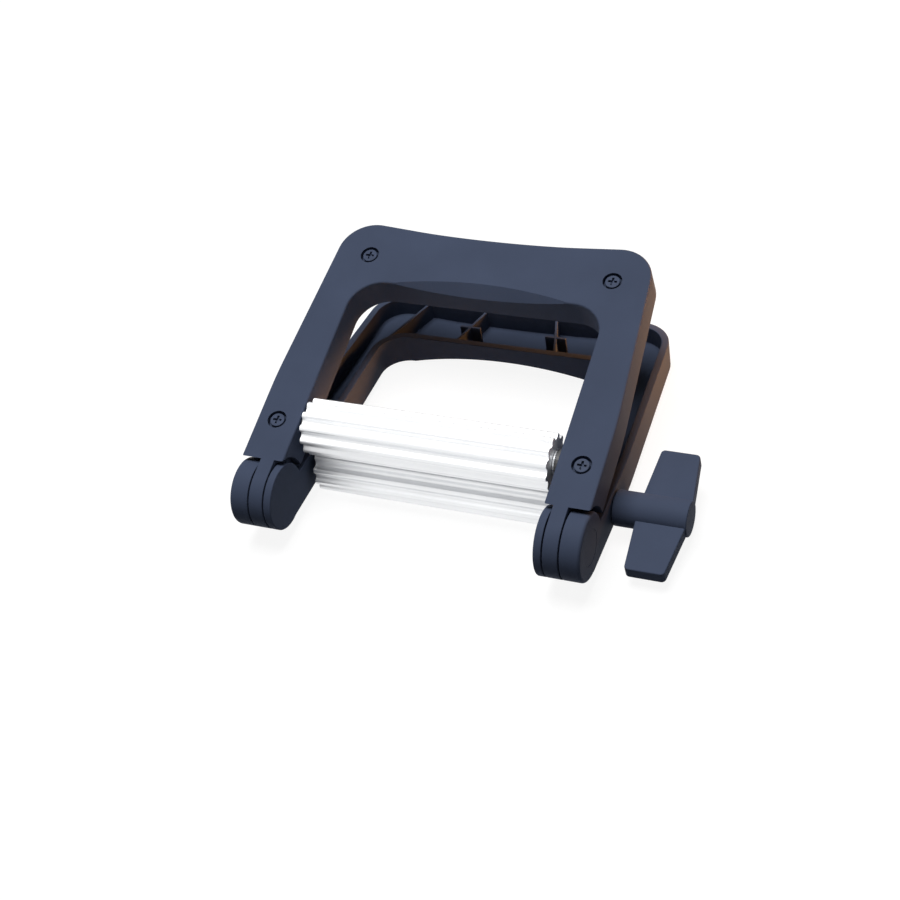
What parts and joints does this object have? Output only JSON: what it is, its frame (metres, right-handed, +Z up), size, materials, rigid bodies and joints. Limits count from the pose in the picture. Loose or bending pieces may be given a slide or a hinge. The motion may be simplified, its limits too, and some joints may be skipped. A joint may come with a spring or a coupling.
{
  "type": "toothpaste tube squeezer",
  "caption": "Hand-held tube squeezer: two hinged U-shaped plastic arms carry fluted metal rollers that a wing key turns to wring out a tube.",
  "frame": {"origin": "centre of the box's base, with the part lying on its lower roller and lower crossbar", "axes": "+X across the arms, towards the wing key; +Y from the hinge to the crossbars; +Z up"},
  "size_m": [0.1326, 0.112, 0.0479],
  "materials": {
    "arm_plastic": "fine-textured matt navy grey moulding",
    "key_plastic": "smooth satin navy grey moulding",
    "cover_plastic": "matt dark moulding",
    "roller_aluminium": "bright extruded and anodised",
    "shaft_steel": "turned",
    "screw_steel": "blackened",
    "bush_acetal": "natural acetal"
  },
  "bodies": {
    "lower_arm": {"lower_arm": "arm_plastic", "hinge_pin_left": "arm_plastic", "hinge_pin_right": "arm_plastic", "lower_bush_left": "bush_acetal", "lower_bush_right": "bush_acetal", "lower_washer_left": "shaft_steel", "lower_washer_right": "shaft_steel", "outer_bush": "bush_acetal", "key_washer": "screw_steel"},
    "upper_arm": {"upper_arm_shell": "arm_plastic", "upper_arm_cover": "cover_plastic", "cover_screw_1": "screw_steel", "cover_screw_2": "screw_steel", "cover_screw_3": "screw_steel", "cover_screw_4": "screw_steel", "upper_bush_left": "bush_acetal", "upper_bush_right": "bush_acetal", "upper_washer_left": "shaft_steel", "upper_washer_right": "shaft_steel"},
    "lower_roller": {"lower_roller": "roller_aluminium", "drive_shaft": "shaft_steel", "shaft_ring": "shaft_steel", "wing_key": "key_plastic"},
    "upper_roller": {"upper_roller": "roller_aluminium", "upper_axle": "shaft_steel"}
  },
  "joints": [
    {"name": "arm_hinge", "type": "hinge", "parent": "lower_arm", "child": "upper_arm", "pos_m": [-0.0113, -0.04572, 0.01497], "axis": [1, 0, 0], "range_deg": [0, 90]},
    {"name": "lower_roller_spin", "type": "hinge", "parent": "lower_arm", "child": "lower_roller", "pos_m": [-0.0113, -0.02366, 0.00865], "axis": [1, 0, 0], "continuous": true},
    {"name": "upper_roller_spin", "type": "hinge", "parent": "upper_arm", "child": "upper_roller", "pos_m": [-0.0113, -0.02531, 0.02547], "axis": [1, 0, 0], "continuous": true}
  ],
  "couplings": [
    {"joint": "upper_roller_spin", "follows": "lower_roller_spin", "ratio": -1}
  ]
}
